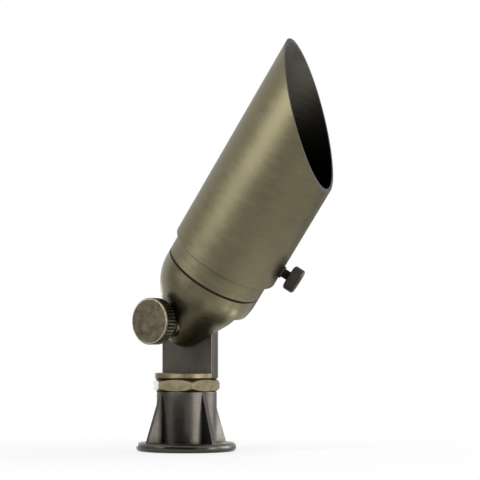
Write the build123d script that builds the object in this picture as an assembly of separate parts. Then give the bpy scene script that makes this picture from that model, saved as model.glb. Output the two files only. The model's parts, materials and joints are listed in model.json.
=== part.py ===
from build123d import *
import os
from math import acos, atan2, degrees, hypot, radians, sqrt, tan

# A landscape spotlight on a round foot. Millimetres and degrees.
# The origin is on the underside of the foot, at its centre. +Z is up, the head leans towards +X
# and the clamping knob of the tilt joint points to -Y.

# Foot
flange_diameter = 54.3
flange_thickness = 5.4
flange_slope = 0.7
flange_top_round = 2.4
flange_bottom_round = 2.0
hub_diameter = 33.2
hub_top_round = 0.7
stem_socket_depth = 16.8
web_thickness = 3.0
stake_socket_depth = 12.8
web_hole_diameter = 12.0
rib_count = 4
rib_thickness = 2.4
rib_margin = 1.4
rib_foot_height = 0.5
rib_top_drop = 1.0
rib_turn = -15.5

# Pipe thread shared by the stem, the nut and both sockets of the foot
thread_diameter = 20.9
thread_clearance = 0.05

# Lead grommet in the web of the foot
grommet_wall = 2.6
grommet_lip_width = 1.8
grommet_lip_thickness = 1.2
grommet_gap = 0.3

# Lock nut
nut_across_flats = 33.4
nut_thickness = 6.4
nut_face_inset = 0.3
nut_chamfer_angle = 30.0
nut_gap = 0.2
nut_turn = -41.0

# Stem
stem_diameter = 34.6
ring_thickness = 3.2
ring_chamfer = 0.7
ring_top_chamfer = 0.3
pivot_rise = 27.9
tongue_end_margin = 0.9
stem_bore_diameter = 12.0
stem_bore_roof = 1.2
tongue_bore_diameter = 7.0
tongue_bore_offset = 6.5
tongue_bore_end = 0.7

# Tilt joint
rest_tilt = 37.5
lap_gap = 0.8
lap_offset = -0.1
pivot_thread_diameter = 8.0
pivot_clearance = 0.05
ear_hole_clearance = 0.35
stud_reach = 12.5
stud_end_gap = 0.8
wire_chamber_inner = 5.8
wire_chamber_width = 4.6
wire_chamber_depth = 5.0
wire_bore_diameter = 4.4
knuckle_gasket_width = 2.0

# Rear cap
ear_radius = 13.8
cap_cone_drop = 11.5
cap_round_reach = 7.6
shoulder_gap = 2.8
cap_floor_thickness = 2.9
cap_depth = 8.85
cap_cavity_wall = 4.6
cap_rim_wall = 2.4
cap_thread_depth = 7.0
seam_chamfer = 0.3
ear_boss_radius = 8.4
ear_boss_reach = 17.2
spot_face_margin = 0.6

# Knob of the tilt joint
washer_thickness = 1.6
washer_radius = 8.0
knob_neck_radius = 6.8
knob_neck_length = 4.4
knob_diameter = 25.0
knob_head_length = 8.1
knob_rim_length = 1.1
knob_rim_chamfer = 0.6
knob_groove_width = 0.5
knob_groove_depth = 0.8
knob_back_chamfer = 1.2
knob_flute_count = 42
knob_flute_radius = 0.62
stud_grip = 6.0

# Lamp socket and its bracket
bracket_boss_height = 5.5
bracket_boss_radius = 3.2
bracket_screw_spacing = 30.0
bracket_thickness = 1.2
bracket_width = 16.0
bracket_end_margin = 3.6
screw_diameter = 2.9
screw_clearance = 0.05
screw_head_radius = 2.6
screw_head_height = 1.8
screw_end_gap = 0.6
socket_length = 22.0
socket_width = 15.0
socket_height = 10.0
socket_round = 2.0
socket_screw_spacing = 15.0
socket_screw_tail = 1.6
socket_sink = 0.3
lead_diameter = 1.7
lead_gap = 0.5
lead_hole_clearance = 0.8
seal_head_thickness = 1.8
seal_head_overhang = 2.0
seal_plug_length = 3.0

# Lamp, a two-pin reflector lamp
lamp_diameter = 50.0
lamp_pin_diameter = 1.5
lamp_pin_spacing = 5.3
lamp_pin_length = 6.8
lamp_pin_clearance = 0.1
lamp_base_diameter = 17.0
lamp_base_width = 11.0
lamp_base_height = 7.8
lamp_neck_margin = 1.0
lamp_body_height = 38.4
lamp_rim_height = 4.4
lamp_wall = 1.7
lamp_solid_height = 12.0
lamp_lens_thickness = 2.0
lamp_lens_ledge = 1.0
board_gap = 0.4
board_thickness = 1.6
emitter_count = 4
emitter_size = 3.5
emitter_thickness = 0.8
emitter_circle_radius = 8.0
optic_gap = 0.3
optic_foot_radius = 2.6
optic_lens_radius = 5.4
optic_lens_height = 8.0
optic_plate_thickness = 1.6

# Housing and front glass
lamp_clearance = 0.6
housing_wall = 1.85
seam_width = 0.8
gasket_recess = 0.3
spigot_wall = 1.7
spigot_clearance = 0.08
spigot_end_gap = 0.5
spigot_step = 1.5
lamp_front_gap = 3.6
lens_pocket_step = 0.5
lens_seat_width = 2.0
lens_seat_thickness = 1.6
lens_clearance = 0.1
lens_gasket_thickness = 1.0
lens_thickness = 3.0
lens_ring_thickness = 3.0
lens_ring_width = 2.3
lens_ring_notch_width = 3.0
lens_ring_notch_depth = 1.2

# Shroud
collar_width = 10.7
shroud_gap = 0.95
shroud_offset = 0.52
shroud_wall = 1.6
shroud_short_length = 62.05
shroud_long_length = 120.45
shroud_turn = 27.5
shroud_edge_chamfer = 0.35

# Thumbscrew of the shroud and its bush
thumb_station = 9.9
thumb_thread_diameter = 5.0
thumb_clearance = 0.05
insert_wall = 0.9
insert_stand = 0.9
insert_inner_stand = 0.3
thumb_standoff = 4.6
thumb_head_diameter = 13.8
thumb_head_length = 6.3
thumb_head_chamfer = 0.8
thumb_flute_count = 34
thumb_flute_radius = 0.42
thumb_tip_gap = 0.3

# Slack between pieces that are pressed together
press_gap = 0.02

# Heights of the foot, the nut and the stem
hub_radius = hub_diameter / 2
flange_radius = flange_diameter / 2
hub_height = stake_socket_depth + web_thickness + stem_socket_depth
web_top = stake_socket_depth + web_thickness
thread_radius = thread_diameter / 2
shank_radius = thread_radius - thread_clearance
shank_bottom = web_top + grommet_lip_thickness + grommet_gap
nut_top = hub_height + nut_thickness
ring_bottom = nut_top + nut_gap
ring_top = ring_bottom + ring_thickness
pivot_height = ring_top + pivot_rise

# Sections of the tilt joint
stem_radius = stem_diameter / 2
tongue_end_radius = stem_radius + tongue_end_margin
ear_face = lap_offset - lap_gap / 2
tongue_face = lap_offset + lap_gap / 2
pivot_radius = pivot_thread_diameter / 2
stud_radius = pivot_radius - pivot_clearance
wire_bore_radius = wire_bore_diameter / 2
wire_chamber_outer = wire_chamber_inner + wire_chamber_width
wire_chamber_middle = wire_chamber_inner + wire_chamber_width / 2
wire_bore_y = ear_face - wire_chamber_depth / 2 - lap_gap
knob_back = -ear_boss_reach - washer_thickness

# Radii about the head's axis, and stations along it from the pivot
housing_bore = lamp_diameter / 2 + lamp_clearance
housing_radius = housing_bore + housing_wall
shoulder = tongue_end_radius + shoulder_gap
cap_floor = shoulder + cap_floor_thickness
cap_rim = cap_floor + cap_depth
cap_thread_radius = housing_radius - cap_rim_wall
cap_cavity_radius = housing_radius - cap_cavity_wall
cone_top = cap_rim - cap_cone_drop
cone_angle = acos(ear_radius / hypot(housing_radius, cone_top)) - atan2(cone_top, housing_radius)
cap_round = cap_round_reach / tan(cone_angle / 2)
seal_top = cap_floor + seal_head_thickness
bracket_bottom = cap_floor + bracket_boss_height
bracket_top = bracket_bottom + bracket_thickness
socket_top = bracket_top + socket_height
lamp_bottom = socket_top + lamp_base_height
lamp_front = lamp_bottom + lamp_body_height
cup_floor = lamp_bottom + lamp_solid_height
cup_ledge = lamp_front - lamp_lens_thickness
board_top = cup_floor + board_thickness
optic_bottom = board_top + emitter_thickness + optic_gap
optic_plate_bottom = optic_bottom + optic_lens_height
lens_seat = lamp_front + lamp_front_gap
lens_bottom = lens_seat + lens_gasket_thickness
lens_top = lens_bottom + lens_thickness
housing_front = lens_top + lens_ring_thickness
housing_back = cap_rim + seam_width
spigot_radius = cap_thread_radius - spigot_clearance
lens_pocket_radius = housing_bore + lens_pocket_step
lens_radius = lens_pocket_radius - lens_clearance
shroud_inner = housing_radius + shroud_gap
shroud_radius = shroud_inner + shroud_wall
shroud_start = housing_back + collar_width
thumb_height = shroud_start + thumb_station
thumb_radius = thumb_thread_diameter / 2
insert_radius = thumb_radius + thumb_clearance + insert_wall
lead_spacing = lead_diameter + lead_gap

# Places of the moving groups
on_floor = (Align.CENTER, Align.CENTER, Align.MIN)
head_place = Pos(0, 0, pivot_height) * Rot(0, rest_tilt, 0)
knob_place = head_place * Pos(0, knob_back, 0) * Rot(90, 0, 0)
shroud_place = head_place * Rot(0, 0, shroud_turn)
thumb_place = shroud_place * Pos(0, 0, thumb_height) * Rot(0, 90, 0)


def disc(radius, bottom, top, hole=0):
    """Round disc about Z between two heights, or a ring where it has a hole."""
    outline = Circle(radius)
    if hole:
        outline -= Circle(hole)
    return Pos(0, 0, bottom) * extrude(outline, top - bottom)


def bar_along_y(radius, start, end):
    """Round bar on the Y axis between two places."""
    return Pos(0, start, 0) * Rot(-90, 0, 0) * Cylinder(radius, end - start, align=on_floor)


def rounded(face, corners):
    """Face with the named corners rounded, each given as a point and a radius."""
    for point, radius in corners:
        face = fillet(face.vertices().sort_by_distance(point)[0], radius)
    return face


def turned(points, corners=()):
    """Solid turned about Z from (radius, height) points."""
    face = rounded(make_face(Polyline(*points, close=True)), corners)
    return revolve(Plane.XZ * face, Axis.Z)


def pair_along_x(spacing, piece):
    """Two copies of a piece, side by side along X."""
    return [Pos(side * spacing / 2, 0, 0) * piece for side in (-1, 1)]


def fluted_bar(radius, length, count, flute_radius):
    """Round bar along Z with straight flutes."""
    outline = Circle(radius) - PolarLocations(radius, count) * Circle(flute_radius)
    return extrude(outline, length)


def make_base():
    """Foot with a hub, ribs and a rounded flange, open right through for the lead."""
    rim_height = flange_thickness - flange_slope
    foot = turned(
        [
            (0, 0),
            (flange_radius, 0),
            (flange_radius, rim_height),
            (hub_radius, flange_thickness),
            (hub_radius, hub_height),
            (0, hub_height),
        ],
        [
            ((flange_radius, 0), flange_bottom_round),
            ((flange_radius, rim_height), flange_top_round),
            ((hub_radius, hub_height), hub_top_round),
        ],
    )
    rib_end = flange_radius - rib_margin
    rib_root = hub_radius - rib_thickness
    rib_low = flange_thickness / 2
    rib_top = hub_height - rib_top_drop
    rib_outline = Polyline(
        (rib_root, rib_low),
        (rib_end, rib_low),
        (rib_end, flange_thickness + rib_foot_height - flange_slope),
        (hub_radius, rib_top),
        (rib_root, rib_top),
        close=True,
    )
    rib = extrude(Plane.XZ * make_face(rib_outline), rib_thickness / 2, both=True)
    for index in range(rib_count):
        foot += Rot(0, 0, rib_turn + index * 360 / rib_count) * rib
    foot -= disc(thread_radius, 0, stake_socket_depth)
    foot -= disc(web_hole_diameter / 2, stake_socket_depth, web_top)
    foot -= disc(thread_radius, web_top, hub_height)
    return foot


def make_lead_grommet():
    """Rubber bush in the web of the foot, with a lip on top."""
    body_radius = web_hole_diameter / 2 - press_gap
    bore = body_radius - grommet_wall
    lip_radius = web_hole_diameter / 2 + grommet_lip_width
    body = disc(body_radius, stake_socket_depth, web_top, bore)
    return body + disc(lip_radius, web_top, web_top + grommet_lip_thickness, bore)


def make_lock_nut():
    """Hexagon nut, chamfered on both faces."""
    flat = nut_across_flats / 2
    corner = nut_across_flats / sqrt(3)
    face_radius = flat - nut_face_inset
    chamfer_height = (corner - face_radius) * tan(radians(nut_chamfer_angle))
    envelope = turned([
        (0, 0),
        (face_radius, 0),
        (corner, chamfer_height),
        (corner, nut_thickness - chamfer_height),
        (face_radius, nut_thickness),
        (0, nut_thickness),
    ])
    hexagon = extrude(RegularPolygon(corner, 6), nut_thickness)
    nut = Pos(0, 0, hub_height) * Rot(0, 0, nut_turn) * (hexagon & envelope)
    return nut - disc(thread_radius, hub_height, nut_top)


def make_stem():
    """Threaded shank, ring and half-lap tongue with a round end, bored for the wires."""
    tongue_top = pivot_height + tongue_end_radius
    post = turned([
        (0, ring_bottom),
        (stem_radius - ring_chamfer, ring_bottom),
        (stem_radius, ring_bottom + ring_chamfer),
        (stem_radius, tongue_top),
        (0, tongue_top),
    ])
    beyond = 2 * tongue_top
    above_ring = turned([
        (0, ring_top),
        (stem_radius - ring_top_chamfer, ring_top),
        (stem_radius + ring_top_chamfer, ring_top - 2 * ring_top_chamfer),
        (stem_radius + ring_top_chamfer, beyond),
        (0, beyond),
    ])
    front = Box(beyond, beyond, beyond, align=(Align.CENTER, Align.MAX, Align.MIN))
    post -= above_ring & Pos(0, tongue_face, 0) * front
    side = Pos(0, pivot_height) * Circle(tongue_end_radius)
    side += Pos(0, pivot_height / 2) * Rectangle(2 * tongue_end_radius, pivot_height)
    post &= extrude(Plane.XZ * side, stem_diameter, both=True)
    stem = post + disc(shank_radius, shank_bottom, ring_bottom)

    bore_top = ring_top - stem_bore_roof
    cross_height = pivot_height - wire_chamber_middle
    tongue_bore_top = cross_height + wire_bore_radius + tongue_bore_end
    tongue_bore = disc(tongue_bore_diameter / 2, ring_bottom + ring_chamfer, tongue_bore_top)
    stem -= disc(stem_bore_diameter / 2, shank_bottom, bore_top)
    stem -= Pos(0, tongue_bore_offset, 0) * tongue_bore
    stem -= Pos(0, 0, cross_height) * bar_along_y(wire_bore_radius, tongue_face, tongue_bore_offset)
    stem -= Pos(0, 0, pivot_height) * bar_along_y(pivot_radius, tongue_face, stud_reach + stud_end_gap)
    return stem


def make_knuckle_gasket():
    """Flat ring between the tongue and the ear, round the wire chamber."""
    inner = wire_chamber_outer + (ear_radius - wire_chamber_outer - knuckle_gasket_width) / 2
    ring = bar_along_y(inner + knuckle_gasket_width, ear_face, tongue_face)
    return Pos(0, 0, pivot_height) * (ring - bar_along_y(inner, ear_face, tongue_face))


def make_rear_cap():
    """Turned cap with a cone and a round end, cut to a half-lap ear below its shoulder."""
    end_arc = CenterArc((0, 0), ear_radius, -90, 90 - degrees(cone_angle))
    side = Polyline(
        end_arc @ 1,
        (housing_radius, cone_top),
        (housing_radius, cap_rim - seam_chamfer),
        (housing_radius - seam_chamfer, cap_rim),
        (0, cap_rim),
        (0, -ear_radius),
    )
    profile = rounded(make_face(end_arc + side), [((housing_radius, cone_top), cap_round)])
    cap = revolve(Plane.XZ * profile, Axis.Z)
    cap += bar_along_y(ear_boss_radius, -ear_boss_reach, ear_face - wire_chamber_depth)

    far = 2 * housing_radius
    cap -= bar_along_y(washer_radius + spot_face_margin, -far, -ear_boss_reach)
    lap = Box(2 * far, far, far, align=(Align.CENTER, Align.MIN, Align.MAX))
    cap -= Pos(0, ear_face, shoulder) * lap
    cap -= disc(cap_cavity_radius, cap_floor, cap_rim)
    cap -= disc(cap_thread_radius, cap_rim - cap_thread_depth, cap_rim)
    chamber = bar_along_y(wire_chamber_outer, ear_face - wire_chamber_depth, ear_face)
    cap -= chamber - bar_along_y(wire_chamber_inner, ear_face - wire_chamber_depth, ear_face)
    cap -= Pos(0, wire_bore_y, 0) * disc(wire_bore_radius, wire_chamber_middle, cap_floor)
    cap -= bar_along_y(pivot_radius + ear_hole_clearance, -ear_boss_reach, ear_face)

    boss = disc(bracket_boss_radius, cap_floor, bracket_bottom)
    boss -= disc(screw_diameter / 2 + screw_clearance, cap_floor, bracket_bottom)
    for piece in pair_along_x(bracket_screw_spacing, boss):
        cap += piece
    return head_place * cap


def make_pivot_washer():
    """Washer between the knob and the boss of the ear."""
    hole = pivot_radius + ear_hole_clearance
    return knob_place * disc(washer_radius, -washer_thickness, 0, hole)


def make_pivot_knob():
    """Knurled knob with a neck, a smooth rim and a groove behind the rim."""
    radius = knob_diameter / 2
    knob_end = knob_neck_length + knob_head_length
    rim_start = knob_end - knob_rim_length
    groove_start = rim_start - knob_groove_width
    groove_radius = radius - knob_groove_depth
    grip = turned([
        (0, 0),
        (radius - knob_back_chamfer, 0),
        (radius, knob_back_chamfer),
        (radius, groove_start - knob_neck_length),
        (0, groove_start - knob_neck_length),
    ])
    grip &= fluted_bar(radius, knob_head_length, knob_flute_count, knob_flute_radius)
    rim = turned([
        (0, groove_start),
        (groove_radius, groove_start),
        (groove_radius, rim_start),
        (radius, rim_start),
        (radius, knob_end - knob_rim_chamfer),
        (radius - knob_rim_chamfer, knob_end),
        (0, knob_end),
    ])
    knob = disc(knob_neck_radius, 0, knob_neck_length) + Pos(0, 0, knob_neck_length) * grip + rim
    return knob_place * (knob - disc(stud_radius + press_gap, 0, stud_grip))


def make_pivot_stud():
    """Threaded stud from the knob into the tongue."""
    return head_place * bar_along_y(stud_radius, knob_back - stud_grip, stud_reach)


def make_wire_seal():
    """Rubber plug in the wire bore of the cap, with a head on the floor of the cap."""
    plug = disc(wire_bore_radius - press_gap, cap_floor - seal_plug_length, cap_floor)
    plug += disc(wire_bore_radius + seal_head_overhang, cap_floor, seal_top)
    return head_place * Pos(0, wire_bore_y, 0) * plug


def make_socket_bracket():
    """Flat strip on the two bosses of the cap, with holes for the screws and the leads."""
    length = bracket_screw_spacing + 2 * bracket_end_margin
    outline = Rectangle(length, bracket_width)
    hole = Circle(screw_diameter / 2 + screw_clearance)
    for piece in pair_along_x(bracket_screw_spacing, hole) + pair_along_x(socket_screw_spacing, hole):
        outline -= piece
    outline -= Pos(0, wire_bore_y) * Circle(lead_spacing / 2 + lead_diameter / 2 + lead_hole_clearance)
    return head_place * Pos(0, 0, bracket_bottom) * extrude(outline, bracket_thickness)


def screw(seat, end):
    """Round-headed screw along the head's axis, with its head on the seat."""
    return disc(screw_head_radius, seat, seat + screw_head_height) + disc(screw_diameter / 2, end, seat)


def make_bracket_screws():
    """The two screws that hold the bracket on the cap."""
    piece = screw(bracket_top, cap_floor + screw_end_gap)
    return head_place * Compound(pair_along_x(bracket_screw_spacing, piece))


def make_lamp_socket():
    """Ceramic socket block with two pin holes and two sunk screw holes."""
    outline = RectangleRounded(socket_length, socket_width, socket_round)
    block = Pos(0, 0, bracket_top) * extrude(outline, socket_height)
    pin_hole = disc(
        lamp_pin_diameter / 2 + lamp_pin_clearance,
        socket_top - lamp_pin_length - lamp_pin_clearance,
        socket_top,
    )
    screw_seat = socket_top - screw_head_height - socket_sink
    screw_hole = disc(screw_diameter / 2 + screw_clearance, bracket_top, socket_top)
    screw_hole += disc(screw_head_radius + screw_clearance, screw_seat, socket_top)
    for hole in pair_along_x(lamp_pin_spacing, pin_hole) + pair_along_x(socket_screw_spacing, screw_hole):
        block -= hole
    return head_place * block


def make_socket_screws():
    """The two screws that hold the socket on the bracket."""
    seat = socket_top - screw_head_height - socket_sink
    piece = screw(seat, bracket_bottom - socket_screw_tail)
    return head_place * Compound(pair_along_x(socket_screw_spacing, piece))


def make_socket_leads():
    """Two insulated leads from the seal up to the socket."""
    lead = disc(lead_diameter / 2, seal_top, bracket_top)
    return head_place * Pos(0, wire_bore_y, 0) * Compound(pair_along_x(lead_spacing, lead))


def make_lamp_pins():
    """The two pins of the lamp, in the socket."""
    pin = disc(lamp_pin_diameter / 2, socket_top - lamp_pin_length, socket_top)
    return head_place * Compound(pair_along_x(lamp_pin_spacing, pin))


def make_lamp_base():
    """Plastic base of the lamp, round with two flats."""
    outline = Circle(lamp_base_diameter / 2) & Rectangle(lamp_base_diameter, lamp_base_width)
    return head_place * Pos(0, 0, socket_top) * extrude(outline, lamp_base_height)


def lamp_radius_at(height):
    """Outer radius of the lamp's cone at a height above its bottom."""
    neck = lamp_base_diameter / 2 + lamp_neck_margin
    slope = (lamp_diameter / 2 - neck) / (lamp_body_height - lamp_rim_height)
    return neck + slope * height


cup_floor_radius = lamp_radius_at(lamp_solid_height) - lamp_wall
cup_ledge_radius = lamp_diameter / 2 - lamp_wall - lamp_lens_ledge


def make_lamp_shell():
    """Cup-shaped metal body of the lamp, solid at its neck."""
    rim = lamp_diameter / 2
    shell = turned([
        (0, lamp_bottom),
        (lamp_radius_at(0), lamp_bottom),
        (rim, lamp_front - lamp_rim_height),
        (rim, lamp_front),
        (rim - lamp_wall, lamp_front),
        (rim - lamp_wall, cup_ledge),
        (cup_ledge_radius, cup_ledge),
        (cup_floor_radius, cup_floor),
        (0, cup_floor),
    ])
    return head_place * shell


def make_led_board():
    """Round board on the floor of the lamp's cup."""
    return head_place * disc(cup_floor_radius - board_gap, cup_floor, board_top)


def make_led_emitters():
    """Light sources on the board."""
    chip = Box(emitter_size, emitter_size, emitter_thickness, align=on_floor)
    chips = [place * chip for place in PolarLocations(emitter_circle_radius, emitter_count)]
    return head_place * Pos(0, 0, board_top) * Compound(chips)


def make_lamp_optic():
    """Clear plate in the lamp's cup, with a lens cone over each light source."""
    wall_slope = (cup_ledge_radius - cup_floor_radius) / (cup_ledge - cup_floor)
    wall_radius = cup_floor_radius + wall_slope * (optic_plate_bottom - cup_floor)
    optic = disc(wall_radius - optic_gap, optic_plate_bottom, optic_plate_bottom + optic_plate_thickness)
    cone = Cone(optic_foot_radius, optic_lens_radius, optic_lens_height, align=on_floor)
    for place in PolarLocations(emitter_circle_radius, emitter_count):
        optic += Pos(0, 0, optic_bottom) * place * cone
    return head_place * optic


def make_lamp_lens():
    """The lamp's own clear disc, on the ledge of its rim."""
    radius = lamp_diameter / 2 - lamp_wall - press_gap
    return head_place * disc(radius, cup_ledge, lamp_front)


def make_housing_gasket():
    """Flat sealing ring that shows as a dark line between the cap and the housing."""
    ring = disc(housing_radius - gasket_recess, cap_rim, housing_back, cap_thread_radius)
    return head_place * ring


def make_housing():
    """Lamp tube with a threaded spigot at the back and a seat for the glass in front."""
    spigot_bottom = cap_rim - cap_thread_depth + spigot_end_gap
    spigot_inner = spigot_radius - spigot_wall
    step = housing_back + spigot_step
    seat_inner = lens_pocket_radius - lens_seat_width
    seat_bottom = lens_seat - lens_seat_thickness
    tube = turned([
        (spigot_inner, spigot_bottom),
        (spigot_radius, spigot_bottom),
        (spigot_radius, housing_back),
        (housing_radius - seam_chamfer, housing_back),
        (housing_radius, housing_back + seam_chamfer),
        (housing_radius, housing_front - seam_chamfer),
        (housing_radius - seam_chamfer, housing_front),
        (lens_pocket_radius, housing_front),
        (lens_pocket_radius, lens_seat),
        (seat_inner, lens_seat),
        (seat_inner, seat_bottom),
        (housing_bore, seat_bottom),
        (housing_bore, step),
        (spigot_inner, step),
    ])
    return head_place * tube


def make_lens_gasket():
    """Flat ring between the seat and the glass."""
    inner = lens_pocket_radius - lens_seat_width + lens_clearance
    return head_place * disc(lens_radius, lens_seat, lens_bottom, inner)


def make_front_lens():
    """Flat glass that closes the housing."""
    return head_place * disc(lens_radius, lens_bottom, lens_top)


def make_lens_ring():
    """Ring that holds the glass, with two notches for a key."""
    ring = disc(lens_radius, lens_top, housing_front, lens_radius - lens_ring_width)
    notch = Box(2 * lens_radius, lens_ring_notch_width, lens_ring_notch_depth)
    return head_place * (ring - Pos(0, 0, housing_front - lens_ring_notch_depth / 2) * notch)


def make_shroud():
    """Thin tube with a slanted mouth, a little off the head's axis, bored for the bush."""
    far_end = shroud_start + shroud_long_length
    tube = turned([
        (shroud_inner + shroud_edge_chamfer, shroud_start),
        (shroud_radius - shroud_edge_chamfer, shroud_start),
        (shroud_radius, shroud_start + shroud_edge_chamfer),
        (shroud_radius, far_end),
        (shroud_inner, far_end),
        (shroud_inner, shroud_start + shroud_edge_chamfer),
    ])
    rise = shroud_long_length - shroud_short_length
    mouth_middle = shroud_start + (shroud_short_length + shroud_long_length) / 2
    mouth = Plane(origin=(0, 0, mouth_middle), x_dir=(0, 1, 0), z_dir=(rise, 0, 2 * shroud_radius))
    beyond = 4 * shroud_radius
    tube -= mouth * Box(beyond, beyond, beyond, align=on_floor)
    tube = Pos(shroud_offset, 0, 0) * tube
    bush_hole = Rot(0, 90, 0) * Cylinder(insert_radius + press_gap, 2 * shroud_radius, align=on_floor)
    return shroud_place * (tube - Pos(0, 0, thumb_height) * bush_hole)


def make_shroud_insert():
    """Threaded bush in the wall of the shroud."""
    inner_end = shroud_offset + shroud_inner - insert_inner_stand
    outer_end = shroud_offset + shroud_radius + insert_stand
    return thumb_place * disc(insert_radius, inner_end, outer_end, thumb_radius + thumb_clearance)


def make_shroud_thumbscrew():
    """Knurled screw that clamps the shroud on the housing."""
    radius = thumb_head_diameter / 2
    head_start = shroud_offset + shroud_radius + thumb_standoff
    tip = housing_radius + thumb_tip_gap
    head = turned([
        (0, 0),
        (radius - thumb_head_chamfer, 0),
        (radius, thumb_head_chamfer),
        (radius, thumb_head_length - thumb_head_chamfer),
        (radius - thumb_head_chamfer, thumb_head_length),
        (0, thumb_head_length),
    ])
    head &= fluted_bar(radius, thumb_head_length, thumb_flute_count, thumb_flute_radius)
    return thumb_place * (disc(thumb_radius, tip, head_start) + Pos(0, 0, head_start) * head)


pieces = {
    "base": make_base,
    "lead_grommet": make_lead_grommet,
    "lock_nut": make_lock_nut,
    "stem": make_stem,
    "knuckle_gasket": make_knuckle_gasket,
    "rear_cap": make_rear_cap,
    "pivot_washer": make_pivot_washer,
    "pivot_knob": make_pivot_knob,
    "pivot_stud": make_pivot_stud,
    "wire_seal": make_wire_seal,
    "socket_bracket": make_socket_bracket,
    "bracket_screws": make_bracket_screws,
    "lamp_socket": make_lamp_socket,
    "socket_screws": make_socket_screws,
    "socket_leads": make_socket_leads,
    "lamp_pins": make_lamp_pins,
    "lamp_base": make_lamp_base,
    "lamp_shell": make_lamp_shell,
    "led_board": make_led_board,
    "led_emitters": make_led_emitters,
    "lamp_optic": make_lamp_optic,
    "lamp_lens": make_lamp_lens,
    "housing_gasket": make_housing_gasket,
    "housing": make_housing,
    "lens_gasket": make_lens_gasket,
    "front_lens": make_front_lens,
    "lens_ring": make_lens_ring,
    "shroud": make_shroud,
    "shroud_insert": make_shroud_insert,
    "shroud_thumbscrew": make_shroud_thumbscrew,
}

os.makedirs("parts", exist_ok=True)
for name, make in pieces.items():
    export_step(make(), f"parts/{name}.step")
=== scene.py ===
import json
from math import cos, radians, sin

import bpy
from mathutils import Matrix, Vector

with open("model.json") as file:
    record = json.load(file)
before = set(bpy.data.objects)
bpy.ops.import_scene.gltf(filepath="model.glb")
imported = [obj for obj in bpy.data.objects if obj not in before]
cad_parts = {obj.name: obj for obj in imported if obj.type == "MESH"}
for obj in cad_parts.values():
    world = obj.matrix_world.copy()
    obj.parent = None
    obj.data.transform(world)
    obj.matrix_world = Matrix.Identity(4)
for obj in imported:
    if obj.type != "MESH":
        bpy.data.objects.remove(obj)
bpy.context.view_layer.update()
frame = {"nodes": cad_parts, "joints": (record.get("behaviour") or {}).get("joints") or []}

# Metres and degrees, in the frame of the part: +Z up, the head leans to +X, the knob points to -Y.
MM = 0.001
UP = Vector((0, 0, 1))

# Places that the joints give
joints = {joint["name"]: joint for joint in frame["joints"]}
pivot = Vector(joints["head_tilt"]["pos_m"])
head_axis = Vector(joints["shroud_slide"]["axis"])
knob_axis = Vector(joints["knob_turn"]["axis"])
thumb_point = Vector(joints["thumbscrew_turn"]["pos_m"])
thumb_axis = Vector(joints["thumbscrew_turn"]["axis"])

# Sizes of the part that the finishes follow. A station is a distance along the head from the pivot.
# Dark seam between the rear cap and the collar: a dark joint, with painted shade over the chamfers beside
# it
seam_station = 33.15 * MM
seam_half_width = 0.68 * MM
# Just under the shroud's outer skin, and how far the thumbscrew draws the shroud to its own side
shroud_skin_radius = 29.85 * MM
shroud_shift = 0.52 * MM
# Painted shade inside the shroud: the inside grows lighter between these stations, towards the mouth.
shroud_dark_station = 108 * MM
shroud_light_station = 150 * MM
# Painted shadow on the shroud round the thumbscrew, full in the core, and how far down the screw's axis it
# goes
screw_shadow_core_radius = 4 * MM
screw_shadow_radius = 10 * MM
screw_shadow_depth = -22 * MM
# Thread of the thumbscrew
thread_radius = 3.2 * MM
# Knob: its grooves are dark below a radius, up to a depth from the pivot, where its rim begins.
groove_radius = 12.225 * MM
flute_end_depth = 30.1 * MM
# Rubbed line along the rim
rim_inner_radius = 11.6 * MM
rim_outer_radius = 12.15 * MM
rim_depth = 30.35 * MM
# Ring of the stem, by height
ring_bottom = 39.0 * MM
ring_top = 42.4 * MM
# The ring is rubbed on the knob's side of the half lap, and the far side of the stem stays dark.
rubbed_side_end = 0.3 * MM
dark_side_start = 0.7 * MM

# Camera
camera_distance = 1.1624
camera_turn = 39.532
camera_height = 0.060
camera_yaw = 1.441
camera_pitch = 2.702
camera_lens = 159.77
camera_sensor = 36.0
camera_range = 50.0

# Lamps. The key stands at an angle round the head from the camera, and leans towards the mouth.
middle = Vector((0.04, 0.0, 0.12))
ambient_strength = 0.55
# Watts for each square metre of a lamp that is seen at a radiance of 1
lamp_watts = 4
key_band = -52
key_lean = 7.5
key_distance = 1.3
side_distance = 0.8

# Floor: a share of its own shading shows near the part, and none of it from far on.
floor_size = 12.0
shadow_near = 0.05
shadow_far = 0.22
shadow_share = 0.2

# Grey cards: where they meet, as angles round the part, distances from its upright axis and heights
card_foot = 0.002
left_turn = -75
front_turn = -12
right_turn = 60
back_turn = 125
left_sector = (left_turn, front_turn)
front_sector = (front_turn, right_turn)
right_sector = (right_turn, back_turn)
wall_reach = 1.9
front_reach = 0.22
right_reach = 0.125
foot_reach = 0.10
flag_reach = 0.32
flag_top = 0.14
rib_card_reach = 0.07
foot_flag_reach = 0.034


def grey(level):
    """Neutral colour of one level."""
    return (level, level, level, 1.0)


def tint(red, green, blue):
    """Opaque colour, in linear light."""
    return (red, green, blue, 1.0)


def shades(colour, spread):
    """A darker and a lighter colour on each side of one."""
    red, green, blue = colour[:3]
    return [tint(red * share, green * share, blue * share) for share in (1 - spread, 1 + spread)]


# Colours that more than one finish uses
WHITE = grey(1.0)
BRONZE = tint(0.165, 0.1465, 0.0895)
WORN_BRONZE = tint(0.34, 0.30, 0.20)
FITTING_BRONZE = tint(0.060, 0.054, 0.044)
WORN_FITTING = tint(0.10, 0.09, 0.07)
# Near-black that paints shade and shadow, and also darkens the seam, grooves, thread and the shroud's rim
SHADE_AND_GRIME = tint(0.014, 0.012, 0.009)


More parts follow.
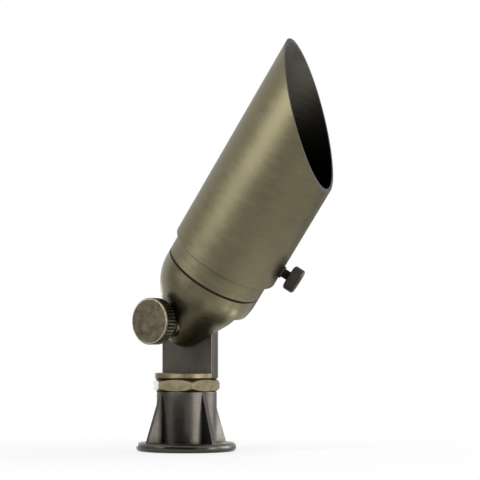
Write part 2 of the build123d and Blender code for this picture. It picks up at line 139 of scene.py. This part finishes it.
class Shader:
    """A material whose node tree is built step by step around a Principled shader."""

    def __init__(self, name, **values):
        self.material = bpy.data.materials.new(name)
        self.material.use_nodes = True
        self.tree = self.material.node_tree
        self.surface = self.tree.nodes["Principled BSDF"]
        self.colour = None
        for key, value in values.items():
            self.set(key.replace("_", " "), value)

    def set(self, socket, value):
        """Sets a socket of the Principled shader to a value or to another node's output."""
        self.feed(self.surface.inputs[socket], value)

    def feed(self, socket, value):
        """Sets any socket to a value or to another node's output."""
        if isinstance(value, bpy.types.NodeSocket):
            self.tree.links.new(value, socket)
        else:
            socket.default_value = value

    def add(self, kind, inputs=None, **settings):
        """Adds a node, with what goes into it and its settings."""
        node = self.tree.nodes.new("ShaderNode" + kind)
        for key, value in settings.items():
            setattr(node, key, value)
        for key, value in (inputs or {}).items():
            self.feed(node.inputs[key], value)
        return node

    def math(self, operation, first, second=0.0):
        """Result of a sum on numbers."""
        return self.add("Math", {0: first, 1: second}, operation=operation).outputs[0]

    def vector(self, operation, first, second=(0, 0, 0)):
        """Result of a sum on vectors."""
        return self.add("VectorMath", {0: first, 1: second}, operation=operation).outputs["Vector"]

    def dot(self, first, second):
        """How far two directions agree, from -1 to 1."""
        node = self.add("VectorMath", {0: first, 1: second}, operation="DOT_PRODUCT")
        return node.outputs["Value"]

    def weigh(self, first, second, shares):
        """Sum of two values, each by its share."""
        weighed = [self.math("MULTIPLY", value, share) for value, share in zip((first, second), shares)]
        return self.math("ADD", *weighed)

    def span(self, value, low, high, start=0.0, end=1.0):
        """Value mapped from one range to another, and held at the ends."""
        inputs = {"Value": value, "From Min": low, "From Max": high, "To Min": start, "To Max": end}
        return self.add("MapRange", inputs).outputs["Result"]

    def above(self, value, edge, blur):
        """Mask that is 1 above an edge and 0 below it, blurred over a width."""
        return self.span(value, edge - blur / 2, edge + blur / 2)

    def below(self, value, edge, blur):
        """Mask that is 1 below an edge and 0 above it, blurred over a width."""
        return self.span(value, edge + blur / 2, edge - blur / 2)

    def both(self, first, second):
        """Mask that is 1 where two masks are."""
        return self.math("MULTIPLY", first, second)

    def mix(self, factor, first, second):
        """Blend of two colours. The node's sockets share their names, so they go by number."""
        return self.add("Mix", {0: factor, 6: first, 7: second}, data_type="RGBA").outputs[2]

    def colour_by(self, pattern, low, high, colours):
        """Starts the colour as a blend of two, from a low to a high value of a pattern."""
        self.colour = self.mix(self.span(pattern, low, high), *colours)

    def cover(self, mask, colour, share=1.0):
        """Lays a share of another colour over the present one, where a mask is 1."""
        self.colour = self.mix(self.math("MULTIPLY", mask, share), self.colour, colour)

    def roughen(self, pattern, low, high, smooth, rough):
        """Roughness that goes from smooth to rough between two values of a pattern."""
        self.set("Roughness", self.span(pattern, low, high, smooth, rough))

    def done(self):
        """The material, with the colour as it has become."""
        self.set("Base Color", self.colour)
        return self.material

    def noise(self, place, scale, detail=2.0):
        """Cloudy pattern between 0 and 1."""
        inputs = {"Vector": place, "Scale": scale, "Detail": detail}
        return self.add("TexNoise", inputs).outputs["Fac"]

    def place(self):
        """Place on the piece, which stays with it as it moves."""
        return self.add("TexCoord").outputs["Object"]

    def normal(self):
        """Direction that the surface faces, which turns with the piece."""
        return self.add("TexCoord").outputs["Normal"]

    def about(self, point, axis):
        """Place measured from a point, with Z along an axis."""
        turn = axis.rotation_difference(UP)
        shift = -(turn @ point)
        inputs = {"Vector": self.place(), "Location": shift, "Rotation": turn.to_euler()}
        return self.add("Mapping", inputs).outputs["Vector"]

    def coordinate(self, place, letter):
        """The X, Y or Z of a place."""
        return self.add("SeparateXYZ", {"Vector": place}).outputs[letter]

    def radius(self, local):
        """Distance of a place from its Z axis."""
        flat = self.vector("MULTIPLY", local, (1, 1, 0))
        return self.add("VectorMath", {0: flat}, operation="LENGTH").outputs["Value"]

    def brushed_noise(self, local, along, around, detail):
        """Noise that runs slowly round the Z axis and fast along it, as turned or brushed lines do."""
        flat = self.vector("MULTIPLY", local, (1, 1, 0))
        ring = self.vector("MULTIPLY", self.vector("NORMALIZE", flat), (around, around, 0))
        lines = self.vector("ADD", ring, self.vector("MULTIPLY", local, (0, 0, along)))
        return self.noise(lines, scale=1.0, detail=detail)

    def edges(self, width, faint=0.03, full=0.25):
        """Mask that is 1 along sharp edges."""
        soft = self.add("Bevel", {"Radius": width}, samples=6).outputs["Normal"]
        true = self.add("NewGeometry").outputs["Normal"]
        return self.span(self.dot(soft, true), 1 - faint, 1 - full)

    def recesses(self, reach, faint=0.75, full=0.2):
        """Mask that is 1 deep in corners, where little light gets in."""
        node = self.add("AmbientOcclusion", {"Distance": reach}, samples=8)
        return self.span(node.outputs["AO"], faint, full)

    def grain_along(self, axis, lean=0.01):
        """Stretches the highlight along an axis, with a slight lean for faces that are square to it."""
        grain = axis + axis.orthogonal() * lean
        node = self.add("VectorTransform", {"Vector": grain}, convert_from="OBJECT", convert_to="WORLD")
        self.set("Tangent", node.outputs["Vector"])

    def bump(self, height, depth):
        """Fine relief that follows a pattern."""
        inputs = {"Height": height, "Distance": depth}
        self.set("Normal", self.add("Bump", inputs).outputs["Normal"])


def paint(material, *names):
    """Gives a material to CAD nodes."""
    for name in names:
        slots = frame["nodes"][name].data.materials
        slots.clear()
        slots.append(material)


def turned_bronze(name, line_depth, contrast, roughness, wear=0.05):
    """Antique bronze brushed round the head's axis: painted shade in corners, a dark seam, light edges."""
    shader = Shader(name, Metallic=1.0, Anisotropic=0.12)
    local = shader.about(pivot, head_axis)
    fine = shader.brushed_noise(local, along=2600, around=5, detail=3.0)
    broad = shader.brushed_noise(local, along=420, around=2.2, detail=3.0)
    cloud = shader.noise(shader.place(), scale=38.0, detail=3.0)
    lines = shader.weigh(fine, broad, shares=(0.6, 0.4))
    tone = shader.weigh(lines, cloud, shares=(1.0, 0.35))
    shader.colour_by(tone, low=0.45, high=0.9, colours=shades(BRONZE, contrast))
    # Painted shade in the corners, where little light gets in
    shader.cover(shader.recesses(reach=10 * MM), SHADE_AND_GRIME, share=0.7)
    shader.cover(shader.edges(width=0.4 * MM), WORN_BRONZE, share=wear)
    station = shader.coordinate(local, "Z")
    from_seam = shader.math("ABSOLUTE", shader.math("SUBTRACT", station, seam_station))
    # Dark joint at the seam, with painted shade over the chamfers beside it
    shader.cover(shader.below(from_seam, seam_half_width, blur=0.12 * MM), SHADE_AND_GRIME)
    shader.grain_along(head_axis)
    shader.roughen(lines, low=0.3, high=0.75, smooth=roughness - 0.07, rough=roughness + 0.07)
    shader.bump(lines, line_depth)
    return shader


def make_bronze(name, line_depth, contrast, roughness):
    """Turned bronze with nothing added."""
    return turned_bronze(name, line_depth, contrast, roughness).done()


def make_shroud_bronze():
    """Bronze with a painted shadow round the thumbscrew, a dark rim, and a dark inside with turning marks.
    """
    shader = turned_bronze("shroud_bronze", line_depth=0.004 * MM, contrast=0.13, roughness=0.45, wear=0.06)
    # Painted shadow on the shroud round the thumbscrew's root, on the screw's side only
    screw = shader.about(thumb_point, thumb_axis)
    near_screw = shader.span(shader.radius(screw), screw_shadow_radius, screw_shadow_core_radius)
    screw_side = shader.above(shader.coordinate(screw, "Z"), screw_shadow_depth, blur=4 * MM)
    shader.cover(shader.both(near_screw, screw_side), SHADE_AND_GRIME, share=0.97)
    local = shader.about(pivot, head_axis)
    marks = shader.brushed_noise(local, along=900, around=1.0, detail=2.0)
    light = shader.span(marks, low=0.3, high=0.75)
    dark = shader.mix(light, tint(0.095, 0.089, 0.072), tint(0.135, 0.125, 0.100))
    station = shader.coordinate(local, "Z")
    # Painted shade that grows darker further into the shroud
    dark = shader.mix(shader.span(station, shroud_dark_station, shroud_light_station), SHADE_AND_GRIME, dark)
    tube = shader.about(pivot + thumb_axis * shroud_shift, head_axis)
    shader.cover(shader.below(shader.radius(tube), shroud_skin_radius, blur=0.1 * MM), dark)
    facing_mouth = shader.dot(shader.normal(), head_axis)
    shader.cover(shader.above(facing_mouth, edge=0.25, blur=0.2), SHADE_AND_GRIME)
    return shader.done()


def mottled_brass(name, colour):
    """Rubbed antique brass, with painted shade in its corners."""
    shader = Shader(name, Metallic=1.0)
    place = shader.place()
    mottle = shader.noise(place, scale=260.0, detail=5.0)
    speck = shader.noise(place, scale=1500.0, detail=3.0)
    tone = shader.weigh(mottle, speck, shares=(0.5, 0.5))
    shader.colour_by(tone, low=0.38, high=0.62, colours=shades(colour, spread=0.34))
    # Painted shade in the corners, where little light gets in
    shader.cover(shader.recesses(reach=3 * MM), SHADE_AND_GRIME, share=0.85)
    shader.roughen(tone, low=0.3, high=0.7, smooth=0.34, rough=0.50)
    shader.bump(speck, depth=0.02 * MM)
    return shader


def make_nut_brass():
    """Brass with rubbed edges."""
    shader = mottled_brass("nut_brass", tint(0.148, 0.126, 0.077))
    shader.cover(shader.edges(width=0.5 * MM), tint(0.46, 0.40, 0.24), share=0.5)
    return shader.done()


def make_knob_brass():
    """Dull face, a rubbed line along the rim and dark grooves between the flutes."""
    shader = mottled_brass("knob_brass", tint(0.118, 0.101, 0.070))
    local = shader.about(pivot, knob_axis)
    radius = shader.radius(local)
    depth = shader.coordinate(local, "Z")
    in_groove = shader.below(radius, groove_radius, blur=0.25 * MM)
    on_flutes = shader.below(depth, flute_end_depth, blur=0.4 * MM)
    shader.cover(shader.both(in_groove, on_flutes), SHADE_AND_GRIME)
    line = shader.both(
        shader.above(radius, rim_inner_radius, blur=0.3 * MM),
        shader.below(radius, rim_outer_radius, blur=0.2 * MM))
    line = shader.both(line, shader.above(depth, rim_depth, blur=0.3 * MM))
    rub = shader.noise(shader.place(), scale=420.0, detail=3.0)
    patchy = shader.span(rub, low=0.3, high=0.6, start=0.4, end=1.0)
    shader.cover(shader.both(line, patchy), tint(0.55, 0.50, 0.30))
    return shader.done()


def rubbed_metal(name, colour, worn, roughness, grain_depth=0.012 * MM):
    """Softly clouded metal, with painted shade in its corners and rubbed edges."""
    shader = Shader(name, Metallic=1.0)
    place = shader.place()
    cloud = shader.noise(place, scale=90.0, detail=4.0)
    grain = shader.noise(place, scale=1800.0)
    shader.colour_by(cloud, low=0.35, high=0.65, colours=shades(colour, spread=0.12))
    # Painted shade in the corners, where little light gets in
    shader.cover(shader.recesses(reach=4 * MM), SHADE_AND_GRIME, share=0.7)
    shader.cover(shader.edges(width=0.4 * MM), worn, share=0.8)
    shader.roughen(grain, low=0.3, high=0.7, smooth=roughness - 0.05, rough=roughness + 0.07)
    shader.bump(grain, grain_depth)
    return shader


def make_foot_bronze():
    """Smooth dark patina of the base."""
    colour = tint(0.088, 0.080, 0.070)
    worn = tint(0.14, 0.13, 0.115)
    return rubbed_metal("foot_bronze", colour, worn, roughness=0.30, grain_depth=0.004 * MM).done()


def make_fitting_bronze():
    """Dark patina of the small fittings."""
    return rubbed_metal("fitting_bronze", FITTING_BRONZE, WORN_FITTING, roughness=0.42).done()


def make_thumb_bronze():
    """Dark screw, with its thread darker still."""
    shader = rubbed_metal("thumb_bronze", FITTING_BRONZE, WORN_FITTING, roughness=0.42)
    radius = shader.radius(shader.about(thumb_point, thumb_axis))
    shader.cover(shader.below(radius, thread_radius, blur=0.4 * MM), SHADE_AND_GRIME)
    return shader.done()


def make_stem_bronze():
    """Dark post, with the knob's side of its ring rubbed down to the brass."""
    shader = rubbed_metal("stem_bronze", tint(0.086, 0.079, 0.067), tint(0.30, 0.25, 0.15), roughness=0.40)
    place = shader.place()
    height = shader.coordinate(place, "Z")
    across = shader.coordinate(place, "Y")
    shader.cover(shader.above(across, dark_side_start, blur=0.4 * MM), tint(0.040, 0.036, 0.025))
    ring = shader.both(
        shader.above(height, ring_bottom, blur=0.2 * MM),
        shader.below(height, ring_top, blur=0.2 * MM))
    ring = shader.both(ring, shader.below(across, rubbed_side_end, blur=0.4 * MM))
    rub = shader.noise(place, scale=320.0, detail=4.0)
    bright = shader.span(rub, low=0.3, high=0.7)
    brass = shader.mix(bright, tint(0.12, 0.101, 0.066), tint(0.215, 0.180, 0.102))
    shader.cover(ring, brass)
    return shader.done()


def make_lamp_metal():
    """Bright cast metal of the lamp's body."""
    return rubbed_metal("lamp_metal", tint(0.52, 0.52, 0.53), tint(0.62, 0.62, 0.62), roughness=0.36).done()


def make_moulded(name, colour, roughness, grain_depth, shine=0.5):
    """Moulded plastic, rubber or ceramic, with a fine grain and soft clouding."""
    shader = Shader(name)
    place = shader.place()
    cloud = shader.noise(place, scale=60.0, detail=3.0)
    grain = shader.noise(place, scale=2400.0)
    shader.colour_by(cloud, low=0.35, high=0.65, colours=shades(colour, spread=0.15))
    shader.roughen(grain, low=0.3, high=0.7, smooth=roughness - 0.04, rough=roughness + 0.06)
    shader.set("Specular IOR Level", shine)
    shader.bump(grain, grain_depth)
    return shader.done()


def make_rubber():
    """Dull black rubber."""
    return make_moulded(
        "black_rubber", tint(0.011, 0.006, 0.0045), roughness=0.8, grain_depth=0.03 * MM, shine=0.15)


def make_ceramic():
    """Pale unglazed ceramic."""
    return make_moulded("socket_ceramic", tint(0.74, 0.70, 0.62), roughness=0.55, grain_depth=0.02 * MM)


def make_plastic(name, colour, roughness):
    """Plastic with a very fine grain."""
    return make_moulded(name, colour, roughness, grain_depth=0.01 * MM)


def make_steel():
    """Plain stainless steel with fine scratches."""
    shader = Shader("stainless", Metallic=1.0)
    scratch_scale = (2500, 300, 300)
    stretched = shader.vector("MULTIPLY", shader.place(), scratch_scale)
    streak = shader.noise(stretched, scale=1.0, detail=3.0)
    shader.colour = shader.mix(streak, tint(0.42, 0.42, 0.41), tint(0.60, 0.60, 0.59))
    shader.roughen(streak, low=0.3, high=0.7, smooth=0.24, rough=0.38)
    return shader.done()


def make_clear(name, index, roughness):
    """Clear glass or acrylic, with a trace of smear."""
    shader = Shader(name, IOR=index, Transmission_Weight=1.0)
    smear = shader.noise(shader.place(), scale=120.0, detail=3.0)
    shader.colour = shader.mix(smear, tint(0.94, 0.97, 0.96), tint(0.98, 0.99, 0.98))
    shader.roughen(smear, low=0.4, high=0.7, smooth=roughness, rough=roughness + 0.03)
    return shader.done()


def make_emitter():
    """Yellow coating of the light sources, slightly uneven."""
    shader = Shader("emitter_coating")
    cells = shader.noise(shader.place(), scale=2200.0)
    shader.colour = shader.mix(cells, tint(0.80, 0.52, 0.04), tint(0.90, 0.66, 0.09))
    shader.roughen(cells, low=0.3, high=0.7, smooth=0.35, rough=0.5)
    return shader.done()


def paint_everything():
    """Gives each CAD node its finish."""
    paint(make_shroud_bronze(), "shroud")
    paint(make_bronze("collar_bronze", line_depth=0.03 * MM, contrast=0.22, roughness=0.45), "housing")
    paint(make_bronze("cap_bronze", line_depth=0.01 * MM, contrast=0.12, roughness=0.33), "rear_cap")
    paint(make_knob_brass(), "pivot_knob")
    paint(make_nut_brass(), "lock_nut")
    paint(make_stem_bronze(), "stem")
    paint(make_fitting_bronze(), "shroud_insert", "pivot_washer", "lens_ring")
    paint(make_thumb_bronze(), "shroud_thumbscrew")
    paint(make_foot_bronze(), "base")
    paint(make_rubber(), "lead_grommet", "knuckle_gasket", "wire_seal", "housing_gasket", "lens_gasket")
    paint(make_steel(), "pivot_stud", "socket_bracket", "bracket_screws", "socket_screws", "lamp_pins")
    paint(make_ceramic(), "lamp_socket")
    paint(make_plastic("lead_insulation", tint(0.42, 0.06, 0.03), roughness=0.5), "socket_leads")
    paint(make_plastic("lamp_plastic", tint(0.72, 0.72, 0.70), roughness=0.32), "lamp_base")
    paint(make_lamp_metal(), "lamp_shell")
    paint(make_plastic("board_mask", tint(0.80, 0.80, 0.78), roughness=0.4), "led_board")
    paint(make_emitter(), "led_emitters")
    paint(make_clear("clear_acrylic", index=1.49, roughness=0.02), "lamp_optic")
    paint(make_clear("clear_glass", index=1.52, roughness=0.0), "front_lens", "lamp_lens")


def seen_directly(tree):
    """1 for rays that show the surface itself: from the camera, in a reflection or through glass."""
    path = tree.nodes.new("ShaderNodeLightPath")
    total = path.outputs["Is Camera Ray"]
    for ray in ("Is Glossy Ray", "Is Transmission Ray"):
        either = tree.nodes.new("ShaderNodeMath")
        either.operation = "MAXIMUM"
        tree.links.new(total, either.inputs[0])
        tree.links.new(path.outputs[ray], either.inputs[1])
        total = either.outputs[0]
    return total


def make_world():
    """White where it is seen, and a soft even light on everything."""
    world = bpy.data.worlds.new("studio")
    world.use_nodes = True
    tree = world.node_tree
    light = tree.nodes["Background"]
    light.inputs["Color"].default_value = WHITE
    light.inputs["Strength"].default_value = ambient_strength
    seen = tree.nodes.new("ShaderNodeBackground")
    seen.inputs["Color"].default_value = WHITE
    blend = tree.nodes.new("ShaderNodeMixShader")
    tree.links.new(seen_directly(tree), blend.inputs["Fac"])
    tree.links.new(light.outputs["Background"], blend.inputs[1])
    tree.links.new(seen.outputs["Background"], blend.inputs[2])
    tree.links.new(blend.outputs["Shader"], tree.nodes["World Output"].inputs["Surface"])
    bpy.context.scene.world = world


def add_mesh(name, points, faces, material):
    """Object made of points and faces, in one material."""
    mesh = bpy.data.meshes.new(name)
    mesh.from_pydata(points, [], faces)
    mesh.materials.append(material)
    thing = bpy.data.objects.new(name, mesh)
    bpy.context.scene.collection.objects.link(thing)
    return thing


def make_paper():
    """Pale paper that is white where it is seen and keeps a soft shadow near the part."""
    shader = Shader("floor_paper", Base_Color=grey(0.9), Roughness=0.9)
    place = shader.place()
    shader.bump(shader.noise(place, scale=900.0), depth=0.02 * MM)
    plain = shader.span(shader.radius(place), shadow_near, shadow_far, start=1 - shadow_share)
    share = shader.math("MULTIPLY", plain, seen_directly(shader.tree))
    glow = shader.add("Emission", {"Color": WHITE, "Strength": 1.0})
    blend = shader.add("MixShader", {"Fac": share})
    shader.feed(blend.inputs[1], shader.surface.outputs["BSDF"])
    shader.feed(blend.inputs[2], glow.outputs["Emission"])
    shader.feed(shader.tree.nodes["Material Output"].inputs["Surface"], blend.outputs["Shader"])
    return shader.material


def make_floor():
    """Wide pale floor."""
    half = floor_size / 2
    corners = [(-half, -half, 0), (half, -half, 0), (half, half, 0), (-half, half, 0)]
    floor = add_mesh("floor", corners, [(0, 1, 2, 3)], make_paper())


def direction(turn, rise):
    """Unit vector at an angle from the -Y side, positive towards +X, and at a height angle."""
    return Vector((
        cos(radians(rise)) * sin(radians(turn)),
        -cos(radians(rise)) * cos(radians(turn)),
        sin(radians(rise)),
    ))


def facing(across, toward):
    """Rotation with Z along one direction, and X along another as far as it is square to it."""
    across = (across - toward * across.dot(toward)).normalized()
    return Matrix((across, toward.cross(across), toward)).transposed().to_4x4()


def add_softbox(name, toward, across, distance, width, height, radiance):
    """Area lamp that looks at the middle of the part, wide along one direction, as bright as it is seen."""
    lamp = bpy.data.lights.new(name, "AREA")
    lamp.shape = "RECTANGLE"
    lamp.size = width
    lamp.size_y = height
    lamp.energy = radiance * lamp_watts * width * height
    box = bpy.data.objects.new(name, lamp)
    box.matrix_world = Matrix.Translation(middle + toward * distance) @ facing(across, toward)
    box.visible_camera = False
    bpy.context.scene.collection.objects.link(box)


def add_side_softbox(name, turn, rise, width, height, radiance):
    """Softbox at an angle round the part, with level edges."""
    toward = direction(turn, rise)
    add_softbox(name, toward, direction(turn - 90, 0), side_distance, width, height, radiance)


def make_lamps():
    """Key to the left of the camera, nearly square to the head, and softboxes to the right and behind."""
    view = direction(camera_turn, 0)
    front = (view - head_axis * view.dot(head_axis)).normalized()
    side = head_axis.cross(front)
    band = radians(key_band)
    lean = radians(key_lean)
    toward = (front * cos(band) + side * sin(band)) * cos(lean) + head_axis * sin(lean)
    across = side * cos(band) - front * sin(band)
    add_softbox("key", toward, across, key_distance, width=0.85, height=0.6, radiance=8.6)
    add_side_softbox("right", turn=82, rise=0, width=0.5, height=0.3, radiance=5.0)
    add_side_softbox("back", turn=146, rise=6, width=0.5, height=0.4, radiance=3.4)


def add_card(name, turns, rings, level, blocks):
    """Grey card round the part, between two angles and two rings given as distance and height.
    Only reflections show it, and one that blocks also keeps the lamps off what is behind it."""
    steps = 24
    start, end = turns
    points = []
    faces = []
    for index in range(steps + 1):
        turn = start + (end - start) * index / steps
        for distance, height in rings:
            points.append(direction(turn, 0) * distance + UP * height)
    for index in range(steps):
        first = 2 * index
        faces.append((first, first + 2, first + 3, first + 1))
    shader = Shader(name + "_cloth", Base_Color=grey(0.0), Roughness=1.0)
    shader.set("Emission Color", grey(level))
    shader.set("Emission Strength", 1.0)
    card = add_mesh(name, points, faces, shader.material)
    card.visible_camera = False
    card.visible_diffuse = False
    card.visible_transmission = False
    card.visible_shadow = blocks


def lay_card(name, turns, near, far, level, height=card_foot):
    """Card that lies level, from one distance to another."""
    add_card(name, turns, [(near, height), (far, height)], level, blocks=False)


def stand_card(name, turns, distance, top, level, foot=card_foot, blocks=False):
    """Card that stands upright at one distance."""
    add_card(name, turns, [(distance, foot), (distance, top)], level, blocks)


def add_flag(name, turns, level):
    """Upright card in front of the part's lower half, which also blocks the lamps behind it."""
    stand_card(name, turns, flag_reach, flag_top, level, blocks=True)


def make_cards():
    """Grey cards that the metal mirrors."""
    # Wall and floor in front
    stand_card("front_card", turns=(left_turn, 58), distance=wall_reach, top=1.0, level=0.5)
    lay_card("left_floor_card", turns=left_sector, near=foot_reach, far=wall_reach, level=0.5)
    lay_card("front_near_card", turns=front_sector, near=foot_reach, far=front_reach, level=0.68)
    lay_card("front_far_card", turns=front_sector, near=front_reach, far=wall_reach, level=0.53)
    # Floor close to the foot
    lay_card("foot_card", turns=(-130, 30), near=0.03, far=foot_reach, level=0.35)
    lay_card("under_card", turns=(30, 175), near=0.028, far=0.05, level=0.15)
    # Floor to the right
    lay_card("right_near_card", turns=right_sector, near=0.08, far=right_reach, level=1.32)
    lay_card("right_far_card", turns=right_sector, near=right_reach, far=0.5, level=0.70)
    # Bright strips: one behind the part, and two beside the ribs of the base
    stand_card("rim_card", turns=(-128, -116), distance=0.5, top=0.08, level=8.0)
    stand_card("left_rib_card", turns=(82, 98), distance=rib_card_reach, top=0.014, level=6.0)
    stand_card("right_rib_card", turns=(114, 134), distance=rib_card_reach, top=0.016, level=7.5)
    # Bands in front of the stem and the foot
    add_flag("left_flag", turns=(-50, -32), level=0.42)
    add_flag("middle_flag", turns=(-32, -14), level=0.85)
    add_flag("right_flag", turns=(-14, 36), level=0.42)
    # Light for the nut, with a shelf that hides it from the rear cap
    stand_card("nut_card", turns=(-18, 34), distance=0.055, foot=0.033, top=0.052, level=2.2)
    lay_card("nut_shelf", turns=(-22, 38), near=0.037, far=0.056, height=0.0525, level=0.3)
    # Darker cards close to the hub and the flange
    stand_card("hub_flag", turns=(-4, 34), distance=0.05, foot=0.006, top=0.032, level=0.1, blocks=True)
    stand_card("foot_flag", turns=(8, 54), distance=foot_flag_reach, top=0.009, level=0.1, blocks=True)
    stand_card("side_flag", turns=(54, 72), distance=foot_flag_reach, top=0.006, level=0.6, blocks=True)
    # Floor behind
    lay_card("back_floor_card", turns=(back_turn, 215), near=0.22, far=3.0, level=0.3)


def make_camera():
    """Camera at the photograph's viewing angle."""
    turn = radians(camera_turn)
    away = Vector((sin(turn), -cos(turn), 0))
    right = Vector((cos(turn), sin(turn), 0))
    yaw = radians(camera_yaw)
    pitch = radians(camera_pitch)
    level = -away * cos(yaw) + right * sin(yaw)
    right = right * cos(yaw) + away * sin(yaw)
    forward = level * cos(pitch) + UP * sin(pitch)
    above = UP * cos(pitch) - level * sin(pitch)
    data = bpy.data.cameras.new("camera")
    data.lens = camera_lens
    data.sensor_width = camera_sensor
    data.clip_end = camera_range
    camera = bpy.data.objects.new("camera", data)
    turned = Matrix((right, above, -forward)).transposed().to_4x4()
    camera.matrix_world = Matrix.Translation(away * camera_distance + UP * camera_height) @ turned
    bpy.context.scene.collection.objects.link(camera)
    bpy.context.scene.camera = camera


paint_everything()
make_world()
make_floor()
make_lamps()
make_cards()
make_camera()
bpy.context.scene.view_settings.view_transform = "Standard"
